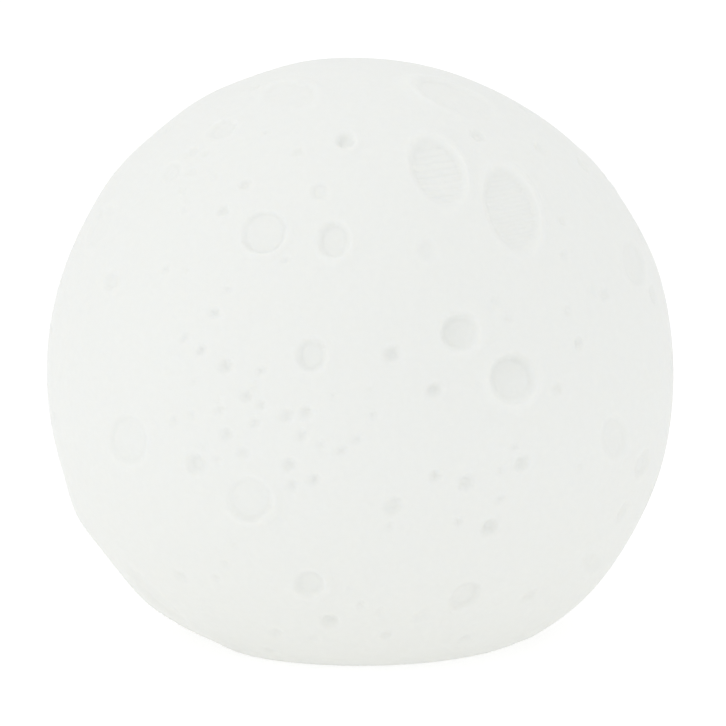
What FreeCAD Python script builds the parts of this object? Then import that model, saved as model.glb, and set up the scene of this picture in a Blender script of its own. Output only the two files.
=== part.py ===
"""Moon lamp: a soft moulded moon globe over a plug-in battery base with one LED.

Frame: millimetres, +Z up, origin at the centre of the flat underside that the lamp stands on.
The face with the two ribbed oval craters looks towards -Y.
"""
import FreeCAD
import Part
import math
import os
import re
import Sketcher

# ---------------------------------------------------------------- driving sizes, millimetres
SIZES = {
    # globe
    "globe_radius": 40.0,
    "rest_share": 0.83,  # the globe's centre above the flat it stands on, as a share of the radius
    "shell_wall": 2.4,
    # base housing, which plugs into the globe's mouth
    "recess": 1.0,  # the base's underside above the flat
    "flange_radius": 19.3,
    "flange_thickness": 1.4,
    "lip_thickness": 2.0,
    "neck_radius": 17.4,
    "snap_gap": 0.1,
    "bead_out": 0.7,
    "bead_height": 1.2,
    "cup_wall": 1.4,
    "floor_thickness": 2.6,
    # button cells in their trough
    "cell_radius": 5.8,
    "cell_height": 5.4,
    "cell_cap_radius": 4.7,
    "cell_cap_height": 0.3,
    "cell_gap": 0.3,
    "trough_offset": 2.0,  # the trough's middle line behind the globe's axis
    "trough_wall": 1.2,
    "leaf_rise": 0.6,  # the leaf's bends above and below the cell's middle, as a share of the cell
    "leaf_room": 2.7,  # the bent leaf's length between its plate and the last cell
    "dimple_height": 0.7,
    "dimple_radius": 2.0,
    "plate_thickness": 0.4,
    "plate_width": 7.0,
    "tab_width": 2.4,
    # battery door
    "door_thickness": 1.4,
    "door_margin": 1.4,  # the door past the trough's mouth, front and back
    "door_reach": 15.8,
    "door_gap": 0.15,
    "seat_gap": 0.05,
    "door_screw_place": 13.4,
    "door_boss_radius": 2.1,
    "door_boss_height": 5.4,
    "door_screw_length": 5.0,
    "door_head_radius": 1.6,
    "door_head_height": 0.7,
    # screws that share one thread size
    "screw_radius": 0.8,
    "thread_gap": 0.05,
    "screw_clearance": 0.3,
    "cross_width": 0.4,
    "cross_share": 0.6,  # the cross recess over the head's width
    # circuit board, cover and cover screws
    "board_side_gap": 0.6,  # the board's edge inside the cup
    "board_thickness": 1.0,
    "board_gap": 1.2,
    "cover_gap": 2.2,
    "cover_thickness": 1.6,
    "collar_wall": 1.4,
    "collar_height": 1.2,
    "boss_radius": 2.2,
    "boss_inset": 4.2,  # the cover bosses' ring inside the neck
    "boss_spread": 122.0,  # degrees from the rear boss to each front one
    "cover_screw_length": 8.4,
    "cover_head_radius": 1.9,
    "cover_head_height": 1.1,
    # lamp
    "lens_radius": 2.5,
    "lens_flange_radius": 2.9,
    "lens_flange_height": 1.0,
    "lens_height": 8.6,
    "lens_standoff": 1.6,
    "lead_width": 0.5,
    "lead_spacing": 2.54,
    "lead_tail": 0.9,
    "led_hole_gap": 0.2,
    # resistor
    "resistor_radius": 0.8,
    "resistor_length": 3.4,
    "resistor_span": 7.0,
    "resistor_place": -6.4,
    "resistor_waist": 0.85,  # the body's middle over its caps
    "resistor_cap": 0.25,  # one cap over the whole length
    "resistor_lead": 0.5,
    # slide switch
    "switch_place": -10.0,
    "switch_web": 1.2,  # floor left under the switch
    "switch_length": 8.6,
    "switch_width": 4.4,
    "switch_height": 3.8,
    "switch_metal": 0.4,
    "switch_flange": 15.2,
    "switch_stake_place": 6.4,
    "stake_radius": 0.7,
    "stake_head_radius": 1.2,
    "stake_head_height": 0.6,
    "switch_base_thickness": 1.0,
    "terminal_spacing": 2.5,
    "terminal_width": 0.6,
    "terminal_thickness": 0.4,
    "terminal_length": 3.0,
    "knob_length": 1.8,
    "knob_width": 1.6,
    "knob_foot": 0.3,  # the knob's end above the flat
    "knob_gap": 0.3,
    "groove_width": 0.2,
    "groove_pitch": 0.6,
    "switch_travel": 2.0,
    "slider_length": 4.0,
    "slider_height": 1.4,
    "slide_gap": 0.05,
    "slider_side_gap": 0.15,
    "clip_thickness": 0.25,
    "wire_radius": 0.45,
}

# Round craters: degrees east of the front and north of the middle, then rim radius and depth.
CRATERS = {
    "west_plain": (-22.3, 37.7, 3.1, 0.45),
    "middle_pan": (-5.7, 36.9, 2.2, 0.5),
    "high_pit": (-5.1, 59.2, 1.35, 0.5),
    "heart_pan": (-9.0, 15.5, 1.85, 0.45),
    "small_ringed": (19.6, 19.1, 2.2, 0.6),
    "great_ringed": (28.9, 10.0, 3.0, 1.0),
    "left_bowl": (-46.9, -3.8, 3.3, 0.7),
    "low_ringed": (-20.6, -11.7, 3.0, 0.5),
    "foot_bowl": (-10.4, -29.2, 1.95, 0.55),
    "foot_slot": (23.4, -33.5, 2.1, 0.55),
    "crown_pan": (-44.4, 71.5, 3.4, 0.6),
    "crown_bowl": (56.8, 68.9, 4.3, 0.9),
    "brow_pit": (-55.4, 58.3, 1.9, 0.5),
    "brow_dot": (-59.5, 45.4, 1.5, 0.4),
    "left_limb": (-74.8, 31.5, 3.9, 0.7),
    "left_dent": (-58.8, 23.5, 1.4, 0.35),
    "right_limb": (72.3, 24.5, 3.2, 0.6),
    "right_pan": (53.7, -4.6, 2.7, 0.5),
    "right_low": (66.0, -12.1, 1.7, 0.4),
    "left_foot": (-56.2, -42.2, 3.4, 0.85),
    "far_west": (-108.0, 4.0, 3.0, 0.6),
    "far_east": (104.0, 38.0, 2.6, 0.6),
    "back_great": (158.0, 16.0, 4.2, 0.95),
    "back_high": (-160.0, 48.0, 3.2, 0.7),
    "back_pan": (-141.0, 8.0, 2.4, 0.5),
    "back_low": (-168.0, -24.0, 3.0, 0.65),
    "back_east": (128.0, -16.0, 2.8, 0.6),
    "back_foot": (112.0, -42.0, 2.2, 0.5),
    "back_crown": (150.0, 66.0, 2.4, 0.55),
    "west_foot": (-122.0, -34.0, 2.6, 0.6),
}
# Raised rims: how far the rim reaches past the crater, and how high it stands.
RIMS = {
    "small_ringed": (1.0, 0.22),
    "great_ringed": (1.3, 0.35),
    "low_ringed": (1.0, 0.22),
    "crown_bowl": (1.0, 0.25),
    "back_great": (1.4, 0.35),
}
# Ribbed oval craters: degrees east and north, half length, half width, lean from east, depth, rib pitch.
OVALS = {
    "upper_oval": (22.7, 51.0, 5.3, 3.1, 81.0, 0.95, 0.71),
    "right_oval": (38.9, 40.9, 5.9, 3.4, 71.0, 0.95, 0.6),
}
CRATER_WORDS = ("east", "north", "radius", "depth")
RIM_WORDS = ("rim_width", "rim_height")
OVAL_WORDS = ("east", "north", "half_length", "half_width", "lean", "depth", "rib")
for words, family in ((CRATER_WORDS, CRATERS), (RIM_WORDS, RIMS), (OVAL_WORDS, OVALS)):
    for name, values in family.items():
        SIZES.update({f"{name}_{word}": value for word, value in zip(words, values)})

# A sketch is first drawn as a ring of corners clear of its axis, and its formulas then move each corner home.
START_PLACE = 10.0
START_RING = 5.0
CAVITY_SIDES = 24
CAVITY_RINGS = (-25.0, -5.0, 15.0, 35.0, 55.0, 75.0)  # degrees of latitude where the hidden wall turns

doc = FreeCAD.newDocument("moon_lamp")
sheet = doc.addObject("Spreadsheet::Sheet", "sizes")
for row, (alias, value) in enumerate(SIZES.items(), start=1):
    sheet.set(f"A{row}", alias)
    sheet.set(f"B{row}", str(value))
    sheet.setAlias(f"B{row}", alias)
doc.recompute()

# ---------------------------------------------------------------- levels and places, as formulas
REST_DROP = "(globe_radius * rest_share)"
LIP_BOTTOM = "(recess + flange_thickness)"
LIP_TOP = f"({LIP_BOTTOM} + lip_thickness)"
FLOOR_TOP = "(recess + floor_thickness)"
DOOR_TOP = "(recess + door_thickness)"
LEDGE = f"({DOOR_TOP} + seat_gap)"
CELL_LEVEL = f"({DOOR_TOP} + cell_gap + cell_radius)"
ROOF_BOTTOM = f"({CELL_LEVEL} + cell_radius + cell_gap)"
ROOF_TOP = f"({ROOF_BOTTOM} + trough_wall)"
BOARD_BOTTOM = f"({ROOF_TOP} + board_gap)"
BOARD_TOP = f"({BOARD_BOTTOM} + board_thickness)"
COVER_BOTTOM = f"({BOARD_TOP} + cover_gap)"
COVER_TOP = f"({COVER_BOTTOM} + cover_thickness)"
LENS_FOOT = f"({BOARD_TOP} + lens_standoff)"
CUP_RADIUS = "(neck_radius - cup_wall)"
BOARD_RADIUS = f"({CUP_RADIUS} - board_side_gap)"
BOSS_RING = "(neck_radius - boss_inset)"
STACK = "(3 * cell_height)"
TROUGH_LENGTH = f"({STACK} + leaf_room + dimple_height + 2 * plate_thickness)"
TROUGH_WIDTH = "(2 * cell_radius + 2 * cell_gap)"
STACK_START = f"(dimple_height + plate_thickness - {TROUGH_LENGTH} / 2)"
DOOR_HALF = f"({TROUGH_WIDTH} / 2 + door_margin)"
SWITCH_LEVEL = "(recess + switch_web)"
SWITCH_BASE_BOTTOM = f"({SWITCH_LEVEL} + switch_height - switch_base_thickness)"
SWITCH_TOP = f"({SWITCH_LEVEL} + switch_height)"
TERMINAL_TOP = f"({SWITCH_TOP} + terminal_length)"
SLIDER_BOTTOM = f"({SWITCH_LEVEL} + switch_metal + slide_gap)"
SLIDER_TOP = f"({SLIDER_BOTTOM} + slider_height)"
LENGTHWISE = FreeCAD.Rotation(FreeCAD.Vector(0, 1, 0), 90)


# ---------------------------------------------------------------- helpers
def formula(text):
    """Put the sheet's name in front of each size that a formula names."""
    return re.sub(r"[a-z_][a-z_0-9]*", lambda word: ("sizes." if word[0] in SIZES else "") + word[0], text)


def bind(item, at=("0", "0", "0"), **formulas):
    """Tie an object's sizes and the place of its base to formulas."""
    for prop, text in formulas.items():
        item.setExpression(prop, formula(text))
    for axis, text in zip("xyz", at):
        item.setExpression(f"Placement.Base.{axis}", formula(text))
    return item


def drum(name, radius, height, at, turn=None):
    """A cylinder that stands on the point `at`, turned if asked."""
    item = doc.addObject("Part::Cylinder", name)
    if turn:
        item.Placement.Rotation = turn
    return bind(item, at, Radius=radius, Height=height)


def block(name, length, width, height, middle):
    """A box whose underside's middle is at `middle`."""
    item = doc.addObject("Part::Box", name)
    corner = (f"{middle[0]} - ({length}) / 2", f"{middle[1]} - ({width}) / 2", middle[2])
    return bind(item, corner, Length=length, Width=width, Height=height)


def ball(name, radius, at):
    """A sphere about the point `at`."""
    return bind(doc.addObject("Part::Sphere", name), at, Radius=radius)


def joined(name, *pieces):
    """One solid of several that overlap or touch."""
    item = doc.addObject("Part::MultiFuse", name)
    item.Shapes = list(pieces)
    return item


def cut(name, base, *tools):
    """The base with every tool taken away."""
    item = doc.addObject("Part::Cut", name)
    item.Base = base
    item.Tool = tools[0] if len(tools) == 1 else joined(name + "_tools", *tools)
    return item


def group(name, *pieces):
    """Separate solids that share one node."""
    item = doc.addObject("Part::Compound", name)
    item.Links = list(pieces)
    return item


def outline(owner, name, role, corners):
    """A closed outline of straight runs whose corners are held by formulas."""
    sketch = owner.newObject("Sketcher::SketchObject", name)
    support = next(plane for plane in owner.Origin.OriginFeatures if plane.Role == role)
    sketch.AttachmentSupport = [(support, "")]
    sketch.MapMode = "FlatFace"
    count = len(corners)
    spots = [FreeCAD.Vector(START_PLACE + START_RING * math.cos(i * math.tau / count),
                            START_RING * math.sin(i * math.tau / count), 0) for i in range(count)]
    for i in range(count):
        sketch.addGeometry(Part.LineSegment(spots[i], spots[(i + 1) % count]), False)
    for i in range(count):
        sketch.addConstraint(Sketcher.Constraint("Coincident", i, 2, (i + 1) % count, 1))
    for i, corner in enumerate(corners):
        for kind, text, start in zip(("DistanceX", "DistanceY"), corner, (spots[i].x, spots[i].y)):
            number = sketch.addConstraint(Sketcher.Constraint(kind, -1, 1, i, 1, start))
            sketch.setExpression(f"Constraints[{number}]", formula(text))
    return sketch


def turned(name, corners):
    """A solid of revolution: radius and height corners spun about the upright axis."""
    owner = doc.addObject("PartDesign::Body", name)
    section = outline(owner, name + "_section", "XZ_Plane", corners)
    spin = owner.newObject("PartDesign::Revolution", name + "_spin")
    spin.Profile = section
    spin.ReferenceAxis = (section, ["V_Axis"])
    spin.Angle = 360
    return owner


def bent_strip(name, corners, width, middle):
    """A strip of bent sheet: its side outline in X and Z, drawn out along Y about `middle`."""
    owner = doc.addObject("PartDesign::Body", name + "_side")
    side = outline(owner, name + "_outline", "XZ_Plane", corners)
    strip = doc.addObject("Part::Extrusion", name)
    strip.Base = side
    strip.DirMode = "Custom"
    strip.Dir = FreeCAD.Vector(0, 1, 0)
    strip.Symmetric = True
    strip.Solid = True
    return bind(strip, ("0", middle, "0"), LengthFwd=width)


def on_globe(name, distance):
    """The point over a crater at a distance from the globe's centre."""
    east, north = f"{name}_east", f"{name}_north"
    return (f"{distance} * cos({north}) * sin({east})",
            f"-({distance}) * cos({north}) * cos({east})",
            f"{REST_DROP} + {distance} * sin({north})")


# ---------------------------------------------------------------- globe
def crater_bowl(name):
    """A ball that meets the globe along the crater's edge and dips to its depth.

    With `dip` the edge's plane less the floor, radius = (edge^2 + dip^2) / (2 dip).
    """
    dip = f"({name}_depth + sqrt(globe_radius^2 - {name}_radius^2) - globe_radius)"
    radius = f"(({name}_radius^2 + {dip}^2) / (2 * {dip}))"
    return ball(name, radius, on_globe(name, f"(globe_radius - {name}_depth + {radius})"))


def crater_rim(name):
    """A low dome wider than its crater: what the bowl leaves of it is the raised rim."""
    edge = f"({name}_radius + {name}_rim_width)"
    rise = f"({name}_rim_height + globe_radius - sqrt(globe_radius^2 - {edge}^2))"
    radius = f"(({edge}^2 + {rise}^2) / (2 * {rise}))"
    return ball(name + "_rim", radius, on_globe(name, f"(globe_radius + {name}_rim_height - {radius})"))


def ribbed_oval(name):
    """An oval well whose floor goes down the globe in level steps one rib pitch high.

    The steps start below the well and stop above it, or just under the top of the ball that they are cut on.
    """
    east, north, half_length, _, lean, depth, rib = (SIZES[f"{name}_{word}"] for word in OVAL_WORDS)
    edge = doc.addObject("Part::Ellipse", name + "_edge")
    edge.Placement.Rotation = (FreeCAD.Rotation(FreeCAD.Vector(0, 0, 1), east)
                               * FreeCAD.Rotation(FreeCAD.Vector(1, 0, 0), 90 - north)
                               * FreeCAD.Rotation(FreeCAD.Vector(0, 0, 1), lean))
    bind(edge, on_globe(name, f"(globe_radius - 2 * {name}_depth)"),
         MajorRadius=f"{name}_half_length", MinorRadius=f"{name}_half_width")
    well = doc.addObject("Part::Extrusion", name + "_well")
    well.Base = edge
    well.DirMode = "Custom"
    well.Dir = edge.Placement.Rotation.multVec(FreeCAD.Vector(0, 0, 1))
    well.Solid = True
    well.setExpression("LengthFwd", formula(f"4 * {name}_depth"))
    tilt = math.radians(north)
    middle = SIZES["globe_radius"] * math.sin(tilt)
    reach = half_length * math.cos(tilt) + 2 * depth * math.sin(tilt)
    top = SIZES["globe_radius"] - depth - middle
    down, up = math.ceil(reach / rib), math.ceil(min(reach, top - rib) / rib)
    inner = f"(globe_radius - {name}_depth)"
    corners = [("0", f"{REST_DROP} + {middle:.3f} - {down} * {name}_rib")]
    for step in range(-down, up):
        low = f"({middle:.3f} + {step} * {name}_rib)"
        radius = f"sqrt({inner}^2 - ({low} + {name}_rib / 2)^2)"
        corners.append((radius, f"{REST_DROP} + {low}"))
        corners.append((radius, f"{REST_DROP} + {low} + {name}_rib"))
    corners.append(("0", f"{REST_DROP} + {middle:.3f} + {up} * {name}_rib"))
    return cut(name, well, turned(name + "_steps", corners))


def hollow():
    """The hidden cavity: flat panels between level rings, every corner one wall in from the globe."""
    inner = SIZES["globe_radius"] - SIZES["shell_wall"]
    drop = SIZES["globe_radius"] * SIZES["rest_share"]
    lip_top = SIZES["recess"] + SIZES["flange_thickness"] + SIZES["lip_thickness"]
    heights = [lip_top - drop] + [inner * math.sin(math.radians(north)) for north in CAVITY_RINGS]
    rings = []
    for height in heights:
        radius = math.sqrt(inner ** 2 - height ** 2)
        turns = [math.tau * side / CAVITY_SIDES for side in range(CAVITY_SIDES)]
        rings.append([FreeCAD.Vector(radius * math.cos(turn), radius * math.sin(turn), drop + height)
                      for turn in turns])
    faces = [Part.Face(Part.makePolygon(ring + ring[:1])) for ring in (rings[0], rings[-1])]
    for lower, upper in zip(rings, rings[1:]):
        for side in range(CAVITY_SIDES):
            after = (side + 1) % CAVITY_SIDES
            panel = [lower[side], lower[after], upper[after], upper[side], lower[side]]
            faces.append(Part.Face(Part.makePolygon(panel)))
    item = doc.addObject("Part::Feature", "hollow")
    solid = Part.Solid(Part.Shell(faces))
    item.Shape = solid if solid.Volume > 0 else solid.reversed()
    return item


def moon_shell():
    """The globe: rims raised, underside cut flat, hollowed, its mouth bored for the base, craters sunk."""
    globe = ball("globe", "globe_radius", ("0", "0", REST_DROP))
    raised = joined("raised", globe, *[crater_rim(name) for name in RIMS])
    below = block("below", "4 * globe_radius", "4 * globe_radius", "globe_radius",
                  ("0", "0", "-globe_radius"))
    mouth = drum("mouth", "neck_radius + snap_gap", f"{LIP_TOP} + shell_wall", ("0", "0", "0"))
    rebate = drum("rebate", "flange_radius + snap_gap", LIP_BOTTOM, ("0", "0", "0"))
    bowls = [crater_bowl(name) for name in CRATERS]
    ovals = [ribbed_oval(name) for name in OVALS]
    return cut("moon_shell", raised, below, hollow(), mouth, rebate, *bowls, *ovals)


# ---------------------------------------------------------------- base housing
def cover_boss_places():
    """The three cover screws: one behind the trough, two in front of it."""
    places = []
    for side in (0, 1, -1):
        angle = f"(90 + {side} * boss_spread)"
        places.append((f"{BOSS_RING} * cos({angle})", f"{BOSS_RING} * sin({angle})"))
    return places


def stadium(name, half, reach, height, level):
    """A long plate with round ends, lying along X over the trough."""
    middle = block(name + "_middle", f"2 * ({reach} - {half})", f"2 * {half}", height,
                   ("0", "trough_offset", level))
    ends = [drum(f"{name}_end_{side}", half, height, (f"{side} * ({reach} - {half})", "trough_offset", level))
            for side in (-1, 1)]
    return joined(name, middle, *ends)


def tab_slots(name, height, level):
    """The two upright slots for the battery contacts' tabs."""
    return [block(f"{name}_{side}", "plate_thickness + 2 * snap_gap", "tab_width + 2 * snap_gap", height,
                  (f"{side} * ({TROUGH_LENGTH} - plate_thickness) / 2", "trough_offset", level))
            for side in (-1, 1)]


def base_housing():
    """The cup: flange, neck and snap bead turned in one, with the trough, bosses and switch seat inside."""
    bead = "neck_radius + bead_out"
    cup = turned("cup", [
        ("0", "recess"), ("flange_radius", "recess"), ("flange_radius", LIP_BOTTOM),
        ("neck_radius", LIP_BOTTOM), ("neck_radius", LIP_TOP), (bead, LIP_TOP),
        (bead, f"{LIP_TOP} + bead_height - bead_out"), ("neck_radius", f"{LIP_TOP} + bead_height"),
        ("neck_radius", COVER_BOTTOM), (CUP_RADIUS, COVER_BOTTOM), (CUP_RADIUS, FLOOR_TOP), ("0", FLOOR_TOP)])
    trough = block("trough", f"{TROUGH_LENGTH} + 2 * trough_wall", f"{TROUGH_WIDTH} + 2 * trough_wall",
                   f"{ROOF_TOP} - recess - floor_thickness / 2",
                   ("0", "trough_offset", "recess + floor_thickness / 2"))
    bosses = [drum(f"boss_{i}", "boss_radius", f"{BOARD_BOTTOM} - recess - floor_thickness / 2",
                   (*place, "recess + floor_thickness / 2")) for i, place in enumerate(cover_boss_places())]
    door_bosses = [drum(f"door_boss_{side}", "door_boss_radius", "door_boss_height + floor_thickness / 2",
                        (f"{side} * door_screw_place", "trough_offset", "recess + floor_thickness / 2"))
                   for side in (-1, 1)]
    solid = joined("housing_solid", cup, trough, *bosses, *door_bosses)
    bore = "screw_radius + thread_gap"
    bores = [drum(f"bore_{i}", bore, "cover_screw_length", (*place, f"{BOARD_BOTTOM} - cover_screw_length"))
             for i, place in enumerate(cover_boss_places())]
    door_bores = [drum(f"door_bore_{side}", bore, f"door_boss_height + floor_thickness - door_thickness",
                       (f"{side} * door_screw_place", "trough_offset", "recess"))
                  for side in (-1, 1)]
    cell_room = block("cell_room", TROUGH_LENGTH, TROUGH_WIDTH, f"{ROOF_BOTTOM} - recess / 2",
                      ("0", "trough_offset", "recess / 2"))
    door_seat = stadium("door_seat", f"({DOOR_HALF} + door_gap)", "(door_reach + door_gap)",
                        f"{LEDGE} - recess / 2", "recess / 2")
    switch_seat = block("switch_seat", "switch_flange + 2 * knob_gap", "switch_width + 2 * knob_gap",
                        "floor_thickness", ("0", "switch_place", SWITCH_LEVEL))
    knob_slot = block("knob_slot", "knob_length + switch_travel + 2 * knob_gap", "knob_width + 2 * knob_gap",
                      "2 * switch_web", ("0", "switch_place", "recess - switch_web / 2"))
    roof_slots = tab_slots("roof_slot", "2 * trough_wall", f"{ROOF_BOTTOM} - trough_wall / 2")
    hollowed = cut("housing_hollowed", solid, cell_room, door_seat, switch_seat, knob_slot,
                   *bores, *door_bores, *roof_slots)
    stakes = []
    for side in (-1, 1):
        foot = (f"{side} * switch_stake_place", "switch_place", f"{SWITCH_LEVEL} - switch_web / 2")
        head = (*foot[:2], f"{SWITCH_LEVEL} + switch_metal")
        stakes.append(drum(f"stake_{side}", "stake_radius",
                           "switch_web / 2 + switch_metal + stake_head_height / 2", foot))
        stakes.append(drum(f"stake_head_{side}", "stake_head_radius", "stake_head_height", head))
    return joined("base_housing", hollowed, *stakes)


# ---------------------------------------------------------------- screws
def screw(name, place, head_bottom, head_radius, head_height, length, up):
    """A self-tapping screw with a flat round head and a cross recess; `up` is 1 where the head is on top."""
    head_foot = head_bottom if up == 1 else f"{head_bottom} - {head_height}"
    shank_foot = f"{head_bottom} - {length}" if up == 1 else head_bottom
    head = drum(name + "_head", head_radius, head_height, (*place, head_foot))
    shank = drum(name + "_shank", "screw_radius", length, (*place, shank_foot))
    floor = f"{head_foot} + {head_height} / 2" if up == 1 else f"{head_foot} - {head_height} / 2"
    arms = [block(f"{name}_arm_{i}", long, wide, head_height, (*place, floor))
            for i, (long, wide) in enumerate(((f"2 * cross_share * {head_radius}", "cross_width"),
                                              ("cross_width", f"2 * cross_share * {head_radius}")))]
    return cut(name, joined(name + "_solid", head, shank), *arms)


def cover_screws():
    """Three screws down through the cover and the board into the housing's bosses."""
    return group("cover_screws", *[
        screw(f"cover_screw_{i}", place, f"{COVER_TOP} - cover_head_height", "cover_head_radius",
              "cover_head_height", "cover_screw_length", 1)
        for i, place in enumerate(cover_boss_places())])


def door_screws():
    """Two screws up through the door into the housing."""
    return group("door_screws", *[
        screw(f"door_screw_{side}", (f"{side} * door_screw_place", "trough_offset"),
              "recess + door_head_height", "door_head_radius", "door_head_height", "door_screw_length", -1)
        for side in (-1, 1)])


# ---------------------------------------------------------------- door
def battery_door():
    """A round-ended plate flush with the base's underside, sunk for the screws' heads."""
    plate = stadium("door_plate", DOOR_HALF, "door_reach", "door_thickness", "recess")
    holes = [drum(f"door_hole_{side}", "screw_radius + screw_clearance", "2 * door_thickness",
                  (f"{side} * door_screw_place", "trough_offset", "recess - door_thickness / 2"))
             for side in (-1, 1)]
    sinks = [drum(f"door_sink_{side}", "door_head_radius + door_gap", "2 * door_head_height",
                  (f"{side} * door_screw_place", "trough_offset", "recess - door_head_height"))
             for side in (-1, 1)]
    return cut("battery_door", plate, *holes, *sinks)


# ---------------------------------------------------------------- cover, board and lamp
def top_cover():
    """The disc on the cup's rim: a collar round the lens and spigots down to the board."""
    hole = "(lens_flange_radius + led_hole_gap)"
    disc = turned("cover_disc", [
        (hole, COVER_BOTTOM), ("neck_radius", COVER_BOTTOM), ("neck_radius", COVER_TOP),
        (f"{hole} + collar_wall", COVER_TOP), (f"{hole} + collar_wall", f"{COVER_TOP} + collar_height"),
        (hole, f"{COVER_TOP} + collar_height")])
    spigots = [drum(f"spigot_{i}", "boss_radius", f"cover_gap + cover_thickness / 2", (*place, BOARD_TOP))
               for i, place in enumerate(cover_boss_places())]
    holes = [drum(f"cover_hole_{i}", "screw_radius + screw_clearance", "cover_gap + 2 * cover_thickness",
                  (*place, f"{BOARD_TOP} - cover_thickness / 2"))
             for i, place in enumerate(cover_boss_places())]
    sinks = [drum(f"cover_sink_{i}", "cover_head_radius + screw_clearance", "2 * cover_head_height",
                  (*place, f"{COVER_TOP} - cover_head_height"))
             for i, place in enumerate(cover_boss_places())]
    return cut("top_cover", joined("cover_solid", disc, *spigots), *holes, *sinks)


def lead_holes(name, half_span, place, width):
    """Two square holes punched through the board for a pair of legs."""
    return [block(f"{name}_{side}", width, width, "2 * board_thickness",
                  (f"{side} * {half_span}", place, f"{BOARD_BOTTOM} - board_thickness / 2"))
            for side in (-1, 1)]


def circuit_board():
    """The round board that the cover clamps on the bosses."""
    disc = drum("board_disc", BOARD_RADIUS, "board_thickness", ("0", "0", BOARD_BOTTOM))
    holes = [drum(f"board_hole_{i}", "screw_radius + screw_clearance", "2 * board_thickness",
                  (*place, f"{BOARD_BOTTOM} - board_thickness / 2"))
             for i, place in enumerate(cover_boss_places())]
    return cut("circuit_board", disc, *holes,
               *lead_holes("led_hole", "lead_spacing / 2", "0", "(lead_width + 2 * snap_gap)"),
               *lead_holes("resistor_hole", "resistor_span / 2", "resistor_place",
                           "(resistor_lead + 2 * snap_gap)"),
               *tab_slots("board_slot", "2 * board_thickness", f"{BOARD_BOTTOM} - board_thickness / 2"))


def led_lens():
    """A 5 mm lamp: flange, straight barrel and a domed end."""
    barrel_top = f"({LENS_FOOT} + lens_height - lens_radius)"
    barrel = drum("lens_barrel", "lens_radius", "lens_height - lens_radius", ("0", "0", LENS_FOOT))
    flange = drum("lens_flange", "lens_flange_radius", "lens_flange_height", ("0", "0", LENS_FOOT))
    return joined("led_lens", barrel, flange, ball("lens_dome", "lens_radius", ("0", "0", barrel_top)))


def led_leads():
    """The lamp's two legs, from its flange down through the board."""
    return group("led_leads", *[
        block(f"led_lead_{side}", "lead_width", "lead_width", "lens_standoff + board_thickness + lead_tail",
              (f"{side} * lead_spacing / 2", "0", f"{BOARD_BOTTOM} - lead_tail"))
        for side in (-1, 1)])


def resistor():
    """A lacquered body with a thicker cap at each end, lying on the board along X."""
    start = "-resistor_length / 2"
    level = f"{BOARD_TOP} + resistor_radius"
    core = drum("resistor_core", "resistor_waist * resistor_radius", "resistor_length",
                (start, "resistor_place", level), LENGTHWISE)
    caps = [drum(f"resistor_cap_{i}", "resistor_radius", "resistor_cap * resistor_length",
                 (f"{start} + {i} * (1 - resistor_cap) * resistor_length", "resistor_place", level),
                 LENGTHWISE)
            for i in (0, 1)]
    return joined("resistor", core, *caps)


def resistor_leads():
    """Each leg leaves the body, turns down and goes through the board."""
    legs = []
    level = f"{BOARD_TOP} + resistor_radius"
    reach = "(resistor_span - resistor_length) / 2"
    for side in (-1, 1):
        run = block(f"resistor_run_{side}", reach, "resistor_lead", "resistor_lead",
                    (f"{side} * (resistor_span + resistor_length) / 4", "resistor_place",
                     f"{level} - resistor_lead / 2"))
        drop = block(f"resistor_drop_{side}", "resistor_lead", "resistor_lead",
                     f"{level} + resistor_lead / 2 - {BOARD_BOTTOM} + lead_tail",
                     (f"{side} * resistor_span / 2", "resistor_place", f"{BOARD_BOTTOM} - lead_tail"))
        legs.append(joined(f"resistor_leg_{side}", run, drop))
    return group("resistor_leads", *legs)


# ---------------------------------------------------------------- cells and contacts
def button_cell(number):
    """A button cell lying on its edge: the can, and the smaller cap that faces the leaf."""
    start = f"{STACK_START} + {number - 1} * cell_height"
    can = drum(f"cell_can_{number}", "cell_radius", "cell_height - cell_cap_height",
               (start, "trough_offset", CELL_LEVEL), LENGTHWISE)
    cap = drum(f"cell_cap_{number}", "cell_cap_radius", "cell_height",
               (start, "trough_offset", CELL_LEVEL), LENGTHWISE)
    return joined(f"button_cell_{number}", can, cap)


def contact_plate():
    """The plate at the cans' end: a dimple to the first cell and a tab up through the board."""
    end = f"(-{TROUGH_LENGTH} / 2)"
    sheet_metal = block("contact_sheet", "plate_thickness", "plate_width", f"{ROOF_BOTTOM} - {FLOOR_TOP}",
                        (f"{end} + plate_thickness / 2", "trough_offset", FLOOR_TOP))
    tab = block("contact_tab", "plate_thickness", "tab_width", f"{BOARD_TOP} + lead_tail - {CELL_LEVEL}",
                (f"{end} + plate_thickness / 2", "trough_offset", CELL_LEVEL))
    dimple = drum("contact_dimple", "dimple_radius", "plate_thickness + dimple_height",
                  (end, "trough_offset", CELL_LEVEL), LENGTHWISE)
    return joined("contact_plate", sheet_metal, tab, dimple)


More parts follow.
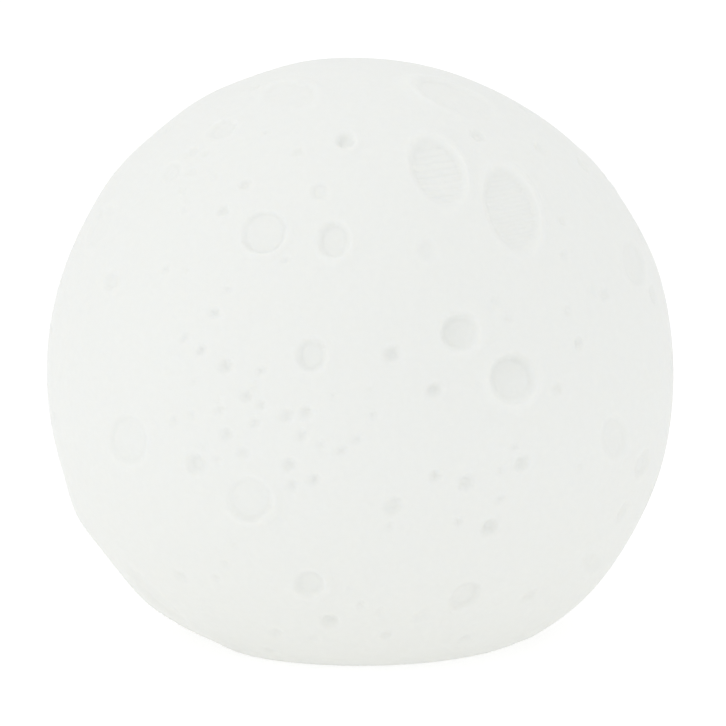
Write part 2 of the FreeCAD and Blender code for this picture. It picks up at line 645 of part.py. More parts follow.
def contact_leaf():
    """The springy contact at the caps' end: one strip bent out to the last cell and back, with a tab."""
    end = f"({TROUGH_LENGTH} / 2)"
    face = f"({end} - plate_thickness)"
    tip = f"({face} - leaf_room)"
    rise = "(leaf_rise * cell_radius)"
    foot = f"({CELL_LEVEL} - {rise})"
    head = f"({CELL_LEVEL} + {rise})"
    leaf = bent_strip("leaf", [
        (end, head), (face, head),
        (tip, f"{CELL_LEVEL} + plate_thickness"), (tip, f"{CELL_LEVEL} - plate_thickness"),
        (f"{face} - plate_thickness", foot), (face, foot), (f"{tip} + plate_thickness", CELL_LEVEL),
        (end, f"{head} - plate_thickness")], "plate_width / 2", "trough_offset")
    back = block("leaf_back", "plate_thickness", "plate_width",
                 f"{ROOF_BOTTOM} - {head} + 2 * plate_thickness",
                 (f"{end} - plate_thickness / 2", "trough_offset", f"{head} - 2 * plate_thickness"))
    tab = block("leaf_tab", "plate_thickness", "tab_width", f"{BOARD_TOP} + lead_tail - {head}",
                (f"{end} - plate_thickness / 2", "trough_offset", head))
    return joined("contact_leaf", leaf, back, tab)


# ---------------------------------------------------------------- slide switch
def switch_frame():
    """The metal shell: a flat flange with two ears, a slot for the knob, and an open box over it."""
    flange = block("frame_flange", "switch_flange", "switch_width", "switch_metal",
                   ("0", "switch_place", SWITCH_LEVEL))
    box = block("frame_box", "switch_length", "switch_width", "switch_height",
                ("0", "switch_place", SWITCH_LEVEL))
    room = block("frame_room", "switch_length - 2 * switch_metal", "switch_width - 2 * switch_metal",
                 "switch_height", ("0", "switch_place", f"{SWITCH_LEVEL} + switch_metal"))
    slot = block("frame_slot", "knob_length + switch_travel + 2 * knob_gap", "knob_width + knob_gap",
                 "4 * switch_metal", ("0", "switch_place", f"{SWITCH_LEVEL} - 2 * switch_metal"))
    holes = [drum(f"frame_hole_{side}", "stake_radius + thread_gap", "4 * switch_metal",
                  (f"{side} * switch_stake_place", "switch_place", f"{SWITCH_LEVEL} - 2 * switch_metal"))
             for side in (-1, 1)]
    return cut("switch_frame", joined("frame_solid", flange, box), room, slot, *holes)


def terminal_set(name):
    """Three flat pins in a row through the switch's insulating base."""
    return [block(f"{name}_{i}", "terminal_width", "terminal_thickness",
                  "switch_base_thickness + terminal_length",
                  (f"{i} * terminal_spacing", "switch_place", SWITCH_BASE_BOTTOM))
            for i in (-1, 0, 1)]


def switch_base():
    """The insulating plate that closes the metal shell and holds the pins."""
    plate = block("base_plate", "switch_length - 2 * switch_metal", "switch_width - 2 * switch_metal",
                  "switch_base_thickness", ("0", "switch_place", SWITCH_BASE_BOTTOM))
    return cut("switch_base", plate, *terminal_set("pin_hole"))


def switch_slider():
    """The moving block and its knob, at the OFF end of its travel."""
    place = "(-switch_travel / 2)"
    carriage = block("slider_block", "slider_length", "switch_width - 2 * switch_metal - 2 * slider_side_gap",
                     "slider_height", (place, "switch_place", SLIDER_BOTTOM))
    knob = block("slider_knob", "knob_length", "knob_width", f"{SLIDER_TOP} - knob_foot",
                 (place, "switch_place", "knob_foot"))
    grooves = [block(f"knob_groove_{i}", "groove_width", "2 * knob_width", "groove_width",
                     (f"{place} + {i} * groove_pitch", "switch_place", "knob_foot"))
               for i in (-1, 0, 1)]
    return cut("switch_slider", joined("slider_solid", carriage, knob), *grooves)


def switch_contact():
    """The small clip on the slider's back that bridges two pins."""
    place = "(-switch_travel / 2)"
    strip = block("clip_strip", "terminal_spacing + 2 * terminal_width", "2 * terminal_thickness",
                  "clip_thickness", (place, "switch_place", SLIDER_TOP))
    feet = [block(f"clip_foot_{side}", "terminal_width / 2", "2 * terminal_thickness",
                  f"{SWITCH_BASE_BOTTOM} - {SLIDER_TOP} - slide_gap",
                  (f"{place} + {side} * terminal_spacing / 2", "switch_place", SLIDER_TOP))
            for side in (-1, 1)]
    return joined("switch_contact", strip, *feet)


def switch_wire(name, pin):
    """A short insulated wire that stands on a switch pin and is soldered under the board."""
    return drum(name, "wire_radius", f"{BOARD_BOTTOM} - {TERMINAL_TOP}",
                (f"{pin} * terminal_spacing", "switch_place", TERMINAL_TOP))


# ---------------------------------------------------------------- the lamp
PIECES = [
    moon_shell(), base_housing(), top_cover(), cover_screws(), circuit_board(), led_lens(), led_leads(),
    resistor(), resistor_leads(), button_cell(1), button_cell(2), button_cell(3), contact_plate(),
    contact_leaf(), switch_frame(), switch_base(), group("switch_terminals", *terminal_set("pin")),
    switch_slider(), switch_contact(), battery_door(), door_screws(),
    switch_wire("wire_red", 0), switch_wire("wire_black", -1),
]
for piece in PIECES:
    piece.Label = piece.Name
doc.recompute()

faults = [item.Name for item in doc.Objects if {"Invalid", "Error"} & set(item.State)]
faults += [piece.Label for piece in PIECES if piece.Shape.isNull() or not piece.Shape.isValid()]
if faults:
    raise RuntimeError("pieces that did not build: " + ", ".join(faults))

os.makedirs("parts", exist_ok=True)
for piece in PIECES:
    piece.Shape.exportStep(f"parts/{piece.Label}.step")
    print(f"{piece.Label}: {len(piece.Shape.Solids)} solids, {piece.Shape.Volume:.1f} cubic mm")
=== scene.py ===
"""Looks for the moon lamp: the moulded moon skin, the finishes of every part, a pale table and soft light.

The globe's outside is worked out here as one closed skin, in millimetres, with its craters, ribs and pits;
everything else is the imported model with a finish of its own.
"""
import math

import bpy
import numpy as np
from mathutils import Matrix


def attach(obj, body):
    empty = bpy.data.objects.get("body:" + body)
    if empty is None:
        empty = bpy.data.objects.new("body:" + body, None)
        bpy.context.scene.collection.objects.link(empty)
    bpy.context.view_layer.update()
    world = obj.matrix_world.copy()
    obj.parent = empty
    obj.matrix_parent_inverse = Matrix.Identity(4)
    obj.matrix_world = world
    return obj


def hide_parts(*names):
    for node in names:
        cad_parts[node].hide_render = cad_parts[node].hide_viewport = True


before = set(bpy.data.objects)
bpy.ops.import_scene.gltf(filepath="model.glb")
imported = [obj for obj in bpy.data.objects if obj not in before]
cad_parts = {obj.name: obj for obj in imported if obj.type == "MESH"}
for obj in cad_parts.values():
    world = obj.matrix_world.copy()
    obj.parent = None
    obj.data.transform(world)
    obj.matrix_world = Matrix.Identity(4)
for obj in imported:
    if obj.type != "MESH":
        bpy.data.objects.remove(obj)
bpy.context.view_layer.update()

# ---------------------------------------------------------------- sizes of the skin, millimetres and degrees
MM = 0.001
GLOBE_RADIUS = 40.0
SKIN_RADIUS = 39.94  # just inside the globe, so that the swells stay in the CAD's box
INNER_RADIUS = 37.6
CENTRE_HEIGHT = 33.2  # the globe's centre above the flat
FOOT_NORTH = -54.0  # where the relief ends and the foot's rounding starts
FADE_NORTH = 3.0  # degrees over which the relief rises above the foot
INNER_NORTHS = (80.0, 60.0, 35.0, 10.0, -15.0, -40.0)
# Radius and height of each ring round the mouth and under the foot, from the inside to the outside.
FOOT_PROFILE = (
    (24.0, 4.4), (19.5, 4.4), (17.5, 4.4), (17.5, 2.4), (19.4, 2.4), (19.4, 0.15), (19.55, 0.0),
    (21.6, 0.0), (22.0, 0.03), (22.45, 0.14),
)

# Longitudes and latitudes of the grid as runs of (from, to, steps): closest where the small pits are. Over
# the two ribbed ovals the rings stand at levels instead, runs of (first, last, spacing), an exact share of a
# rib apart. The cap round the top and the hidden inside have every second longitude.
LONGITUDE_RUNS = ((-62.0, 62.0, 190), (62.0, 92.0, 32), (92.0, 268.0, 124), (268.0, 298.0, 32))
FLANK_RUNS = ((-54.0, -22.0, 46), (-22.0, 30.7, 96))
RIB_LEVELS = ((125, 187, 0.49 / 3.0), (172, 196, 0.71 / 4.0))
CAP_RUNS = ((60.8, 80.0, 29), (80.0, 89.0, 9))

# Craters: east, north, half length, half width, lean of the length from east, depth, wall as a share of the
# radius, rim height, rim reach, the side that is deeper (degrees from east) and how much deeper.
CRATERS = {
    "west_plain": (-22.3, 37.7, 2.98, 2.74, 135, 0.28, 0.14, 0.14, 0.6, 135, 0.2),
    "middle_pan": (-5.7, 36.9, 2.40, 1.86, 96, 0.42, 0.35, 0.16, 0.6, 120, 0.3),
    "high_pit": (-4.8, 59.2, 1.32, 1.08, 102, 0.6, 0.6, 0.14, 0.5, 180, 0.7),
    "heart_pan": (-9.0, 15.5, 1.86, 1.72, 96, 0.43, 0.3, 0.12, 0.7, 150, 0.1),
    "small_ringed": (19.3, 19.1, 2.25, 2.15, 16, 0.85, 0.4, 0.26, 0.9, 158, 0.9),
    "great_ringed": (28.9, 10.0, 2.95, 2.80, 169, 0.78, 0.3, 0.45, 1.0, 102, 1.3),
    "left_bowl": (-46.9, -3.8, 3.58, 2.95, 30, 0.26, 0.2, 0.16, 0.8, 140, 0.4),
    "low_ringed": (-20.6, -11.7, 3.00, 2.70, 35, 0.20, 0.2, 0.24, 0.7, 135, 0.2),
    "foot_bowl": (-10.4, -29.2, 2.00, 1.70, 55, 0.42, 0.4, 0.28, 0.6, 160, 0.6),
    "foot_slot": (23.4, -33.5, 2.10, 1.92, 87, 0.55, 0.35, 0.05, 0.5, 60, 0.2),
    "crown_pan": (-44.4, 71.5, 4.44, 2.73, 164, 0.12, 0.25, 0.24, 0.9, 270, 0.2),
    "crown_bowl": (56.8, 68.9, 5.43, 3.80, 102, 0.14, 0.22, 0.26, 1.0, 270, 0.2),
    "brow_pit": (-55.4, 58.3, 1.95, 1.75, 0, 0.26, 0.35, 0.15, 0.6, 270, 0.5),
    "brow_dot": (-59.5, 46.2, 1.57, 1.39, 164, 0.18, 0.5, 0.1, 0.5, 270, 0.3),
    "left_limb": (-74.8, 31.5, 2.8, 2.9, 2, 0.14, 0.3, 0.08, 0.9, 0, 0.0),
    "left_dent": (-58.8, 23.5, 1.55, 1.12, 176, 0.32, 0.7, 0.08, 0.5, 0, 0.0),
    "right_limb": (72.3, 24.5, 3.71, 2.63, 16, 0.32, 0.3, 0.12, 0.8, 0, 0.0),
    "right_pan": (53.7, -4.6, 3.14, 2.28, 135, 0.36, 0.35, 0.1, 0.8, 60, 0.5),
    "right_low": (66.0, -12.1, 2.02, 1.52, 168, 0.4, 0.6, 0.08, 0.6, 0, 0.0),
    "left_foot": (-58.5, -40.0, 4.9, 2.6, 106, 0.35, 0.7, 0.2, 0.9, 0, 0.0),
    "right_foot": (59.4, -31.3, 3.71, 1.02, 152, 0.25, 0.8, 0.1, 0.8, 0, 0.0),
    "soft_dot": (14.8, 34.6, 1.24, 1.02, 70, 0.28, 0.9, 0.03, 0.5, 0, 0.0),
    "ring_dot": (-10.6, 46.9, 1.17, 1.00, 113, 0.22, 0.4, 0.06, 0.4, 180, 0.2),
    "far_west": (-108.0, 4.0, 3.2, 2.9, 20, 0.6, 0.4, 0.16, 0.9, 0, 0.0),
    "far_east": (104.0, 38.0, 2.8, 2.4, 60, 0.6, 0.4, 0.14, 0.8, 0, 0.0),
    "back_great": (158.0, 16.0, 4.3, 4.0, 100, 1.1, 0.45, 0.32, 1.2, 0, 0.0),
    "back_high": (-160.0, 48.0, 3.4, 3.0, 40, 0.7, 0.35, 0.18, 0.9, 0, 0.0),
    "back_pan": (-141.0, 8.0, 2.5, 2.3, 10, 0.5, 0.3, 0.12, 0.8, 0, 0.0),
    "back_low": (-168.0, -24.0, 3.1, 2.8, 150, 0.65, 0.4, 0.16, 0.9, 0, 0.0),
    "back_east": (128.0, -16.0, 2.9, 2.6, 80, 0.6, 0.35, 0.14, 0.8, 0, 0.0),
    "back_foot": (112.0, -42.0, 2.4, 2.0, 20, 0.5, 0.5, 0.1, 0.7, 0, 0.0),
    "back_crown": (150.0, 66.0, 2.6, 2.2, 60, 0.6, 0.4, 0.16, 0.8, 0, 0.0),
    "west_foot": (-122.0, -34.0, 2.8, 2.4, 130, 0.6, 0.4, 0.14, 0.8, 0, 0.0),
}
DEPTH_PLACE = 5  # where a crater's row holds its depth
# Ribbed ovals: the same, then the side with the higher rim, the rib pitch measured upright and the rib's
# height.
OVALS = {
    "upper_oval": (22.9, 50.9, 5.40, 3.25, 85, 0.30, 0.3, 0.22, 0.7, 140, 0.8, 25, 0.71, 0.20),
    "right_oval": (39.1, 40.9, 6.00, 3.58, 72, 0.34, 0.3, 0.22, 0.7, 140, 0.8, 15, 0.49, 0.15),
}
RIM_LEAN = 0.9  # how much higher a leaning rim is on its high side
BOWL = 0.5  # the most of its depth that a pan has lost where it meets the wall
MIDDLE = 0.1  # nearer to the middle than this share of the radius, no side is told from another
RIB_FALL = 4.0  # how many times steeper a rib falls than it rises
RIB_MEAN = 0.4  # a rib's mean height, which keeps the ribbed floor at its depth

# Pits: east, north, radius, depth.
PITS = (
    (-31.1, -6.1, 1.18, 0.7), (6.0, 15.8, 0.9, 0.65), (13.6, 9.2, 0.8, 0.65),
    (6.1, -12.1, 1.11, 0.6), (25.4, -17.8, 1.0, 0.75), (30.7, -5.7, 0.85, 0.6),
    (19.6, -8.3, 0.9, 0.6), (13.7, -6.6, 0.65, 0.45), (-7.1, -39.2, 1.0, 0.65),
    (14.2, -38.1, 0.95, 0.35), (41.5, -36.3, 0.95, 0.4), (62.8, -20.8, 1.1, 0.45),
    (38.6, 6.9, 0.65, 0.35), (45.2, 14.2, 0.65, 0.45), (55.9, 21.4, 0.84, 0.4),
    (52.0, 22.8, 0.8, 0.25), (44.1, 20.3, 0.6, 0.3), (47.9, 30.2, 0.66, 0.3),
    (52.5, 36.5, 0.6, 0.25), (44.4, 58.0, 0.9, 0.5), (66.0, 51.4, 0.9, 0.4),
    (38.7, 54.8, 0.55, 0.15), (27.4, 24.1, 0.55, 0.25), (29.7, 20.9, 0.55, 0.25),
    (29.1, -2.3, 0.56, 0.25), (26.4, -6.3, 0.56, 0.25), (26.7, -12.2, 0.5, 0.25),
    (18.6, -16.1, 0.5, 0.35), (5.5, -16.4, 0.55, 0.25), (44.3, -8.3, 0.64, 0.25),
    (57.8, -10.0, 0.76, 0.15), (29.2, -46.9, 0.78, 0.3), (-32.0, 47.1, 0.7, 0.4),
    (-34.5, 41.1, 0.7, 0.4), (-20.1, 55.6, 0.65, 0.3), (-15.8, 32.6, 0.45, 0.2),
    (-29.2, 21.8, 0.57, 0.4), (-34.9, 16.7, 0.5, 0.3), (-30.9, 14.9, 0.55, 0.4),
    (-25.4, 12.5, 0.75, 0.5), (-18.4, 12.2, 0.52, 0.3), (-43.7, 28.2, 0.55, 0.25),
    (-38.3, 28.4, 0.5, 0.15), (-27.4, 26.2, 0.5, 0.2), (-58.3, 51.7, 0.75, 0.3),
    (-53.1, 51.8, 0.55, 0.2), (-51.6, 47.5, 0.68, 0.2), (-42.2, 47.6, 0.5, 0.15),
    (-50.7, 43.3, 0.5, 0.15), (-46.3, 39.7, 0.5, 0.15), (-69.2, 39.3, 0.62, 0.15),
    (-35.2, 59.8, 0.55, 0.2), (-31.5, 9.0, 0.55, 0.15), (1.8, 9.3, 0.45, 0.2),
    (-20.9, 7.4, 0.6, 0.4), (-18.1, 6.1, 0.56, 0.3), (-26.0, 4.4, 0.57, 0.3),
    (-26.3, 6.5, 0.45, 0.15), (-31.8, 3.0, 0.5, 0.25), (-35.6, 1.5, 0.57, 0.25),
    (-24.6, 0.2, 0.68, 0.4), (-19.2, 2.8, 0.53, 0.3), (-19.3, 9.8, 0.45, 0.15),
    (-13.2, 4.5, 0.7, 0.4), (-9.6, 5.3, 0.67, 0.4), (-10.5, 1.0, 0.65, 0.35),
    (-21.4, -3.0, 0.68, 0.35), (-29.2, -2.4, 0.56, 0.2), (-26.4, -4.6, 0.5, 0.2),
    (-12.7, -4.5, 0.68, 0.45), (-12.3, -8.4, 0.6, 0.35), (-8.2, -7.1, 0.6, 0.4),
    (-6.9, -0.4, 0.52, 0.25), (-4.8, 8.2, 0.45, 0.2), (-3.3, -1.6, 0.55, 0.3),
    (-0.6, 0.5, 0.55, 0.3), (2.3, 4.8, 0.55, 0.25), (-41.4, -31.4, 0.83, 0.35),
    (-31.3, -30.0, 0.57, 0.25), (-27.7, -26.0, 0.54, 0.2), (-34.5, -25.1, 0.5, 0.15),
    (-24.7, -21.6, 0.6, 0.2), (-21.7, -44.1, 0.75, 0.3), (-12.2, -44.9, 0.72, 0.25),
    (-27.3, -51.6, 0.84, 0.35), (0.1, -34.5, 0.5, 0.25), (4.4, -36.5, 0.57, 0.2),
    (6.4, -43.6, 0.6, 0.3), (-2.8, -30.4, 0.5, 0.15), (21.0, -37.3, 0.5, 0.15),
)
PIT_LIP = 1.4  # a pit's lip over its radius
PIT_FLAT = 1.5  # over 1 the pit has a flat bottom
# The pits of the sides and back: how many, and (from, range) of their longitude, of their height over the
# middle as a share of the radius, and of their own radius.
FAR_PITS = 90
FAR_EASTS = (75.0, 210.0)
FAR_HEIGHTS = (-0.75, 1.7)
FAR_RADII = (0.55, 0.5)
FAR_DEPTH = 0.5  # their depth over their radius
GOLDEN_TURN = 137.508
GOLDEN_SHARE = 0.618

# Swells and hollows of the whole skin: east, north, reach, height.
SWELLS = (
    (76.9, -43.4, 10.0, 0.75), (-83.2, -26.2, 4.0, 0.55), (-101.0, 38.7, 6.0, 0.35),
    (-112.0, 57.4, 6.0, 0.35), (-143.0, 73.0, 6.0, 0.25), (114.0, 60.0, 9.0, -0.2),
    (-61.0, -55.0, 5.5, -0.8), (-78.0, -46.0, 3.5, 0.25), (85.6, -20.0, 9.0, 0.33),
    (94.0, 19.0, 6.0, 0.2),
)
# The foot's edge is drawn in round NICK_EAST, over NICK_SPREAD degrees, by up to NICK_SHARE of the radius.
# Only rings wider than NICKED_FROM and lower than NICKED_BELOW are.
NICK_EAST = -62.0
NICK_SPREAD = 18.0
NICK_SHARE = 0.065
NICKED_FROM = 21.0
NICKED_BELOW = 1.0

PULL = 0.42  # how far the grid is drawn in to a pit's middle, as a share of the distance
PULL_REACH = 1.8  # how far that reaches, in pit radii
NEAR = 0.5  # cosine of the angle from a shape's middle up to which it reaches

PAN = "pan"  # the skin's attribute that says where the crater floors and rims are, for their painted shade and painted highlight
PAN_FULL = 0.35  # the depth at which a pan has all of its painted shade
RIM_FULL = 0.25  # the height at which a rim has all of its painted highlight


# ---------------------------------------------------------------- shapes
def runs(stops):
    """The grid lines of one direction: each run (from, to, steps) cut into equal steps, its end left out."""
    return np.concatenate([np.linspace(start, end, steps, endpoint=False) for start, end, steps in stops])


def direction(east, north):
    """The unit vector at a longitude and latitude, in degrees: zero longitude is -Y and the east is +X."""
    east, north = np.radians(east), np.radians(north)
    level = np.cos(north)
    return np.stack([level * np.sin(east), -level * np.cos(east), np.sin(north) + 0 * east], -1)


def smooth(share):
    """The smooth step 3 s squared - 2 s cubed of a share held between 0 and 1."""
    held = np.clip(share, 0.0, 1.0)
    return held * held * (3.0 - 2.0 * held)


def on_face(points, east, north, lean=0.0):
    """Each point's place on the flat that touches the globe at a longitude and latitude, along and across."""
    middle = direction(east, north)
    eastward = direction(east + 90.0, 0.0)
    northward = np.cross(middle, eastward)
    x, y = SKIN_RADIUS * points @ eastward, SKIN_RADIUS * points @ northward
    turn = math.radians(lean)
    near = points @ middle > NEAR
    return x * math.cos(turn) + y * math.sin(turn), y * math.cos(turn) - x * math.sin(turn), near


def crater(points, east, north, length, width, lean, depth, wall, rim, reach, deep_side, deeper,
           rim_side=None):
    """Height of one crater, and the share of its floor: a pan behind a smooth wall, and a rim outside it.

    The distance q is 1 on an ellipse of the half length and half width, where the wall is half way down. The
    wall takes its share of the radius and drops by depth + rim. Outside it, the height is the rim's times
    exp(-(distance / reach) squared). The pan is deeper towards one side by a share that grows with the
    distance from the middle. Where it is, the rim is higher towards the other side or a side of its own, by
    RIM_LEAN times the cosine of the angle. Without a side of its own the pan is also a bowl, which loses a
    share of its depth that grows with q squared.
    """
    along, across, near = on_face(points, east, north, lean)
    q = np.hypot(along / length, across / width)

    def towards(side):
        """How far each point lies towards a side, in degrees from east: q times the cosine of the angle."""
        turn = math.radians(side - lean)
        return along / length * math.cos(turn) + across / width * math.sin(turn)

    bowl = 0.0
    if rim_side is None:
        rim_side = deep_side + 180.0
        bowl = BOWL * min(deeper, 1.0)
    rim = rim * (1.0 + RIM_LEAN * (towards(rim_side) / np.maximum(q, MIDDLE)) * (deeper > 0.0))
    floor = smooth((1.0 + wall / 2.0 - q) / wall)
    outside = np.clip(q - 1.0 - wall / 2.0, 0.0, None) * width
    depth = depth * (1.0 - bowl * np.minimum(q, 1.0) ** 2)
    deepened = depth * (1.0 + towards(deep_side) * deeper)
    height = rim * np.exp(-((outside / reach) ** 2)) - (deepened + rim) * floor
    return np.where(near, height, 0.0), np.where(near, floor, 0.0)


def pit(points, east, north, radius, depth):
    """Height of a small pit: minus depth times the smooth step of the share left to the edge of its lip."""
    along, across, near = on_face(points, east, north)
    share = 1.0 - np.hypot(along, across) / (radius * PIT_LIP)
    return np.where(near, -depth * smooth(share * PIT_FLAT), 0.0)


def far_pits():
    """The pits of the sides and back: each stands a golden turn further east and an even step higher.

    The radius grows with the square of a share that goes round by the golden ratio, so most are small.
    """
    found = []
    for number in range(FAR_PITS):
        east = FAR_EASTS[0] + FAR_EASTS[1] * ((number * GOLDEN_TURN / 360.0) % 1.0)
        height = FAR_HEIGHTS[0] + FAR_HEIGHTS[1] * (number + 0.5) / FAR_PITS
        radius = FAR_RADII[0] + FAR_RADII[1] * ((number * GOLDEN_SHARE) % 1.0) ** 2
        found.append((east, math.degrees(math.asin(height)), radius, FAR_DEPTH * radius))
    return tuple(found)


ALL_PITS = PITS + far_pits()


def swell(points, east, north, reach, height):
    """Height of a wide swell: a bell of that reach."""
    along, across, near = on_face(points, east, north)
    return np.where(near, height * np.exp(-(along**2 + across**2) / (reach * reach)), 0.0)


def relief(points):
    """Height of the skin over the plain ball at each direction: craters, ribbed ovals and pits summed.

    A rib is a saw tooth over the height: a slow rise from 0 and a steep fall back to it, less its mean.
    """
    height = np.zeros(len(points))
    for values in CRATERS.values():
        height += crater(points, *values)[0]
    upright = SKIN_RADIUS * points[:, 2]
    for *values, pitch, rib in OVALS.values():
        drop, floor = crater(points, *values)
        saw = np.mod(upright / pitch, 1.0)
        height += drop + rib * floor * (np.minimum(saw, (1.0 - saw) * RIB_FALL) - RIB_MEAN)
    for values in ALL_PITS:
        height += pit(points, *values)
    return height


def painted_light_mask(points):
    """Mask of painted shade and highlight: 0.5 outside, up to 1 on a crater's floor and down to 0 on its rim.
    """
    floors, rims = np.zeros(len(points)), np.zeros(len(points))
    for values in [*CRATERS.values(), *(oval[:-2] for oval in OVALS.values())]:
        height, floor = crater(points, *values)
        floors = np.maximum(floors, floor * min(values[DEPTH_PLACE] / PAN_FULL, 1.0))
        rims = np.maximum(rims, np.clip(height / RIM_FULL, 0.0, 1.0))
    return 0.5 + 0.5 * (floors - rims)


def drawn_in(points):
    """The grid's directions drawn in towards each pit, so that small pits get more of the grid.

    The way to a pit's middle shortens by PULL at the middle, and by a bell's share of that further out.
    """
    moved = points.copy()
    for east, north, radius, _ in ALL_PITS:
        way = points - direction(east, north)
        reach = PULL_REACH * radius / SKIN_RADIUS
        moved -= (PULL * np.exp(-(way * way).sum(-1) / (reach * reach)))[:, None] * way
    return moved / np.linalg.norm(moved, axis=-1)[:, None]


def band(first, first_count, second, second_count):
    """The faces between two rings of points, by the number of each ring's first point.

    Rings of equal count are joined by quads. Where one has half the points of the other, each of its edges
    takes two edges of the other, with three triangles.
    """
    here = np.arange(min(first_count, second_count))
    after = np.roll(here, -1)
    if first_count == second_count:
        return np.stack([first + here, first + after, second + after, second + here], -1).tolist()
    coarse_first = first_count < second_count
    coarse, fine = (first, second) if coarse_first else (second, first)
    left, middle, right = fine + 2 * here, fine + 2 * here + 1, fine + 2 * after
    low, high = coarse + here, coarse + after
    sides = ((low, middle, left), (low, high, middle), (high, right, middle))
    faces = np.concatenate([np.stack(side, -1) for side in sides])
    return (faces if coarse_first else faces[:, ::-1]).tolist()


def closed_skin(name, rings, first, last):
    """One closed mesh from rings of points, each ring closed on itself, and a single point at either end."""
    counts = [len(ring) for ring in rings]
    starts = np.concatenate([[0], np.cumsum(counts)])
    points = np.concatenate(rings + [[first, last]]) * MM
    faces = []
    for i in range(len(rings) - 1):
        faces += band(starts[i], counts[i], starts[i + 1], counts[i + 1])
    tips = ((0, counts[0], starts[-1], -1), (starts[-2], counts[-1], starts[-1] + 1, 1))
    for start, count, tip, turn in tips:
        here = np.arange(count)
        fan = np.stack([start + here, start + np.roll(here, -1), np.full(count, tip)], -1)
        faces += fan[:, ::turn].tolist()
    mesh = bpy.data.meshes.new(name)
    mesh.from_pydata(points.tolist(), [], faces)
    mesh.polygons.foreach_set("use_smooth", np.ones(len(faces), bool))
    mesh.update()
    made = bpy.data.objects.new(name, mesh)
    bpy.context.scene.collection.objects.link(made)
    return made


def skin_rings(easts, norths):
    """Rings of the outside at these latitudes, on the ball's directions drawn in to the pits.

    Each point is raised by the relief, which fades out towards the foot, and by the swells.
    """
    east, north = np.meshgrid(easts, norths)
    ways = drawn_in(direction(east.ravel(), north.ravel()))
    fade = smooth((np.degrees(np.arcsin(ways[:, 2])) - FOOT_NORTH) / FADE_NORTH)
    height = relief(ways) * fade + sum(swell(ways, *values) for values in SWELLS)
    points = ways * (SKIN_RADIUS + height)[:, None] + (0.0, 0.0, CENTRE_HEIGHT)
    return list(points.reshape(len(norths), len(easts), 3))


def plain_rings(easts):
    """The turned rings down the hidden inner wall, round the mouth and under the foot, with the foot's nick.

    The nick takes a bell's share off the radius, round its longitude.
    """
    spin = direction(easts, 0.0 * easts)
    aside = np.mod(easts - NICK_EAST + 180.0, 360.0) - 180.0
    nick = 1.0 - NICK_SHARE * np.exp(-((aside / NICK_SPREAD) ** 2))
    inner = [(INNER_RADIUS * math.cos(math.radians(north)),
              CENTRE_HEIGHT + INNER_RADIUS * math.sin(math.radians(north))) for north in INNER_NORTHS]
    rings = []
    for radius, height in inner + list(FOOT_PROFILE):
        share = nick if radius > NICKED_FROM and height < NICKED_BELOW else 1.0
        across = radius * share
        rings.append(np.stack([across * spin[:, 0], across * spin[:, 1], np.full(len(spin), height)], -1))
    return rings


def moon_skin():
    """The globe's skin: rings from the hidden inner top, down the inner wall, round the mouth and foot, and
    up the outside, where each ring is the ball's latitude circle plus the relief along the radius."""
    easts = runs(LONGITUDE_RUNS)
    levels = np.concatenate([np.arange(first, last) * spacing for first, last, spacing in RIB_LEVELS])
    flanks = np.concatenate([runs(FLANK_RUNS), np.degrees(np.arcsin(levels / SKIN_RADIUS))])
    rings = plain_rings(easts[::2]) + skin_rings(easts, flanks) + skin_rings(easts[::2], runs(CAP_RUNS))
    top = SKIN_RADIUS + relief(direction(np.zeros(1), np.full(1, 90.0)))[0]
    return closed_skin("moon_skin", rings, (0, 0, CENTRE_HEIGHT + INNER_RADIUS), (0, 0, CENTRE_HEIGHT + top))


def mark_pans(piece):
    """Stores on each point of the skin whether it is a crater's floor or rim, for its painted shade and
    highlight.
    """
    corners = np.empty(3 * len(piece.data.vertices))
    piece.data.vertices.foreach_get("co", corners)
    ways = corners.reshape(-1, 3) - (0.0, 0.0, CENTRE_HEIGHT * MM)
    ways /= np.linalg.norm(ways, axis=1)[:, None]
    piece.data.attributes.new(PAN, "FLOAT", "POINT").data.foreach_set("value", painted_light_mask(ways))


skin = moon_skin()
mark_pans(skin)
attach(skin, "base")
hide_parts("moon_shell")


# ---------------------------------------------------------------- finishes
WHITE = (1.0, 1.0, 1.0)
COARSE_DETAIL, FINE_DETAIL = 2.0, 3.0  # how many finer layers a noise has

# The vinyl of the globe.
# Painted shade with a warm tint: the white is darker and warmer towards the foot, near the table, than at the
# crown.
FOOT_SHADED_WHITE, CROWN_WHITE = (0.867, 0.876, 0.840), (0.882, 0.897, 0.872)
FOOT_SHADE_HEIGHT = 0.03  # metres above the flat up to which the foot's painted shade, darker and warmer, reaches
MOTTLE_SCALE, MOTTLE_DARK = 1200.0, (0.972, 0.972, 0.972)
# Painted highlight on the rims and painted shade on the crater floors, around the plain skin's tint.
RIM_PAINTED_HIGHLIGHT, PLAIN_TINT, PAN_PAINTED_SHADE = (0.994, 0.994, 0.994), (0.987, 0.987, 0.987), (0.977, 0.977, 0.976)
STREAK_STRETCH = (40.0, 40.0, 2000.0)  # the streaks' scale on each axis: level, half a millimetre apart
GRAIN_SCALE = 1500.0
WAVE_SCALE = 350.0
WAVE_SHARE = 12.0  # how many times the grain's height the waves have
VINYL_BUMP, VINYL_BUMP_HEIGHT = 0.4, 0.00005
VINYL_ROUGHNESS = 0.6
CARRIED_LIGHT, CARRIED_WAY, CARRIED_TINT = 0.35, 0.0006, (1.0, 0.95, 0.85)  # light under the surface

# The finishes of the CAD's own solids.
DRIFT, DRIFT_SCALE = 0.04, 120.0  # how far the colour drifts each way
DRIFT_RUN = (0.3, 0.7)  # the part of the noise over which it does
GLOSS_DRIFT, GLOSS_SCALE = 0.15, 300.0  # how far the roughness drifts each way
FINE_GRAIN, FINE_BUMP, FINE_BUMP_HEIGHT = 4000.0, 0.05, 0.0001
